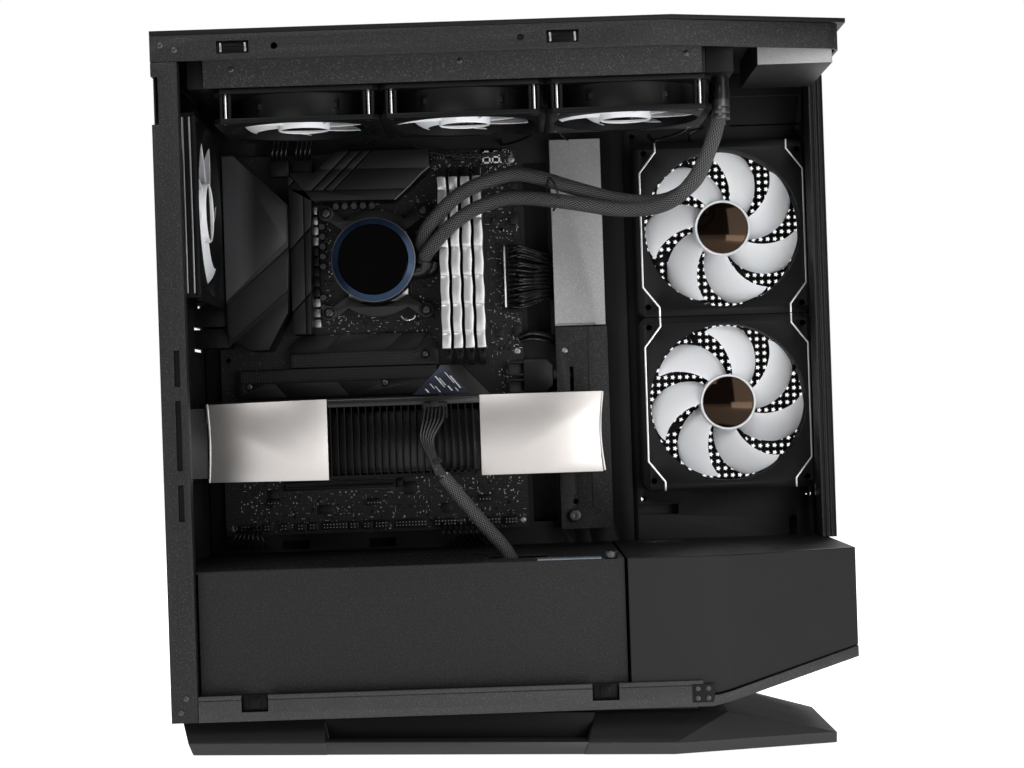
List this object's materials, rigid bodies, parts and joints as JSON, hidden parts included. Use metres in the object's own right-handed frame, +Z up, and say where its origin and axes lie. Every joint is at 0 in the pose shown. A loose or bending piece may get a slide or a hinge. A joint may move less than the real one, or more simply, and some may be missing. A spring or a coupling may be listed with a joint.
{
  "type": "desktop computer tower",
  "caption": "Open-sided mid tower computer on an angular plinth, with liquid cooling, case fans, a long graphics card and a lower power supply shroud.",
  "frame": {"origin": "middle of the overall box, on the surface that the rubber pads stand on", "axes": "+X towards the front of the tower, +Y from the open side to the closed side, +Z up; the body leans back 1.75 degrees on its level plinth"},
  "size_m": [0.5149, 0.25, 0.5321],
  "materials": {
    "black_steel": "fine sandy powder coat, satin",
    "grey_plastic": "fine moulded texture, satin",
    "black_plastic": "satin",
    "gloss_black": "polished",
    "fan_frame": "fine moulded texture",
    "white_blade": "translucent, satin",
    "dark_heatsink": "anodised, brushed",
    "card_silver": "bead blasted, satin",
    "memory_silver": "brushed, satin",
    "circuit_board": "solder mask, satin",
    "black_braid": "woven sleeve",
    "rubber": "matt",
    "bare_steel": "satin"
  },
  "bodies": {
    "chassis": {"base_plinth": "grey_plastic", "board_power_plug": "black_plastic", "bottom_frame": "black_steel", "cable_bar": "black_steel", "card_bracket": "bare_steel", "card_heatsink": "dark_heatsink", "card_power_cable": "black_braid", "card_shroud": "card_silver", "chipset_heatsink": "dark_heatsink", "coolant_hose_lower": "black_braid", "coolant_hose_upper": "black_braid", "cpu": "bare_steel", "foot_pad_front_far": "rubber", "foot_pad_front_near": "rubber", "foot_pad_rear_far": "rubber", "foot_pad_rear_near": "rubber", "front_bezel": "grey_plastic", "front_header": "black_steel", "front_pillar": "black_steel", "gpu_holder_bracket": "black_steel", "io_cover": "grey_plastic", "m2_heatsink_lower": "dark_heatsink", "m2_heatsink_upper": "dark_heatsink", "memory_stick_1": "memory_silver", "memory_stick_2": "memory_silver", "memory_stick_3": "memory_silver", "memory_stick_4": "memory_silver", "motherboard": "circuit_board", "motherboard_tray": "black_steel", "power_supply": "black_steel", "psu_shroud": "black_steel", "pump_bracket": "bare_steel", "pump_head": "gloss_black", "radiator": "black_steel", "radiator_fan_frame_1": "fan_frame", "radiator_fan_frame_2": "fan_frame", "radiator_fan_frame_3": "fan_frame", "rear_fan_frame": "fan_frame", "rear_panel": "black_steel", "rear_pillar": "black_steel", "side_fan_frame_lower": "fan_frame", "side_fan_frame_upper": "fan_frame", "side_fan_wall": "black_steel", "top_frame": "black_steel", "vrm_heatsink_side": "dark_heatsink", "vrm_heatsink_top": "dark_heatsink"},
    "radiator_rotor_1": {"radiator_fan_rotor_1": "white_blade"},
    "radiator_rotor_2": {"radiator_fan_rotor_2": "white_blade"},
    "radiator_rotor_3": {"radiator_fan_rotor_3": "white_blade"},
    "rear_rotor": {"rear_fan_rotor": "white_blade"},
    "side_rotor_upper": {"side_fan_rotor_upper": "white_blade"},
    "side_rotor_lower": {"side_fan_rotor_lower": "white_blade"},
    "card_rotor_rear": {"card_fan_rear": "black_plastic"},
    "card_rotor_front": {"card_fan_front": "black_plastic"},
    "supply_rotor": {"power_supply_fan": "black_plastic"},
    "power_key": {"power_button": "grey_plastic"},
    "reset_key": {"reset_button": "grey_plastic"},
    "supply_rocker": {"power_supply_switch": "black_plastic"},
    "cover": {"top_cover": "black_steel"},
    "side_panel": {"right_side_panel": "black_steel"}
  },
  "joints": [
    {"name": "radiator_fan_spin_1", "type": "hinge", "parent": "chassis", "child": "radiator_rotor_1", "pos_m": [-0.15489, -0.0445, 0.46734], "axis": [0.0305, 0, -0.9995], "continuous": true},
    {"name": "radiator_fan_spin_2", "type": "hinge", "parent": "chassis", "child": "radiator_rotor_2", "pos_m": [-0.03495, -0.0445, 0.47101], "axis": [0.0305, 0, -0.9995], "continuous": true},
    {"name": "radiator_fan_spin_3", "type": "hinge", "parent": "chassis", "child": "radiator_rotor_3", "pos_m": [0.085, -0.0445, 0.47467], "axis": [0.0305, 0, -0.9995], "continuous": true},
    {"name": "rear_fan_spin", "type": "hinge", "parent": "chassis", "child": "rear_rotor", "pos_m": [-0.23974, -0.025, 0.39572], "axis": [0.9995, 0, 0.0305], "continuous": true},
    {"name": "side_fan_spin_upper", "type": "hinge", "parent": "chassis", "child": "side_rotor_upper", "pos_m": [0.16954, 0.093, 0.39252], "axis": [0, -1, 0], "continuous": true},
    {"name": "side_fan_spin_lower", "type": "hinge", "parent": "chassis", "child": "side_rotor_lower", "pos_m": [0.17381, 0.093, 0.25278], "axis": [0, -1, 0], "continuous": true},
    {"name": "card_fan_spin_rear", "type": "hinge", "parent": "chassis", "child": "card_rotor_rear", "pos_m": [-0.18381, 0.021, 0.20234], "axis": [0.0305, 0, -0.9995], "continuous": true},
    {"name": "card_fan_spin_front", "type": "hinge", "parent": "chassis", "child": "card_rotor_front", "pos_m": [0.02081, 0.021, 0.25061], "axis": [-0.0305, 0, 0.9995], "continuous": true},
    {"name": "power_supply_fan_spin", "type": "hinge", "parent": "chassis", "child": "supply_rotor", "pos_m": [-0.16603, -0.03, 0.04281], "axis": [0.0305, 0, -0.9995], "continuous": true},
    {"name": "power_button_press", "type": "slide", "parent": "chassis", "child": "power_key", "axis": [0.0305, 0, -0.9995], "range_m": [0, 0.0012], "stiffness_N_per_m": 800, "springref_m": -0.001},
    {"name": "reset_button_press", "type": "slide", "parent": "chassis", "child": "reset_key", "axis": [0.0305, 0, -0.9995], "range_m": [0, 0.001], "stiffness_N_per_m": 800, "springref_m": -0.001},
    {"name": "power_supply_switch_rock", "type": "hinge", "parent": "chassis", "child": "supply_rocker", "pos_m": [-0.23906, -0.013, 0.0886], "axis": [0, 1, 0], "range_deg": [0, 14]},
    {"name": "top_cover_lift", "type": "slide", "parent": "chassis", "child": "cover", "axis": [-0.0305, 0, 0.9995], "range_m": [0, 0.08]},
    {"name": "side_panel_pull", "type": "slide", "parent": "chassis", "child": "side_panel", "axis": [0, 1, 0], "range_m": [0, 0.08]}
  ]
}
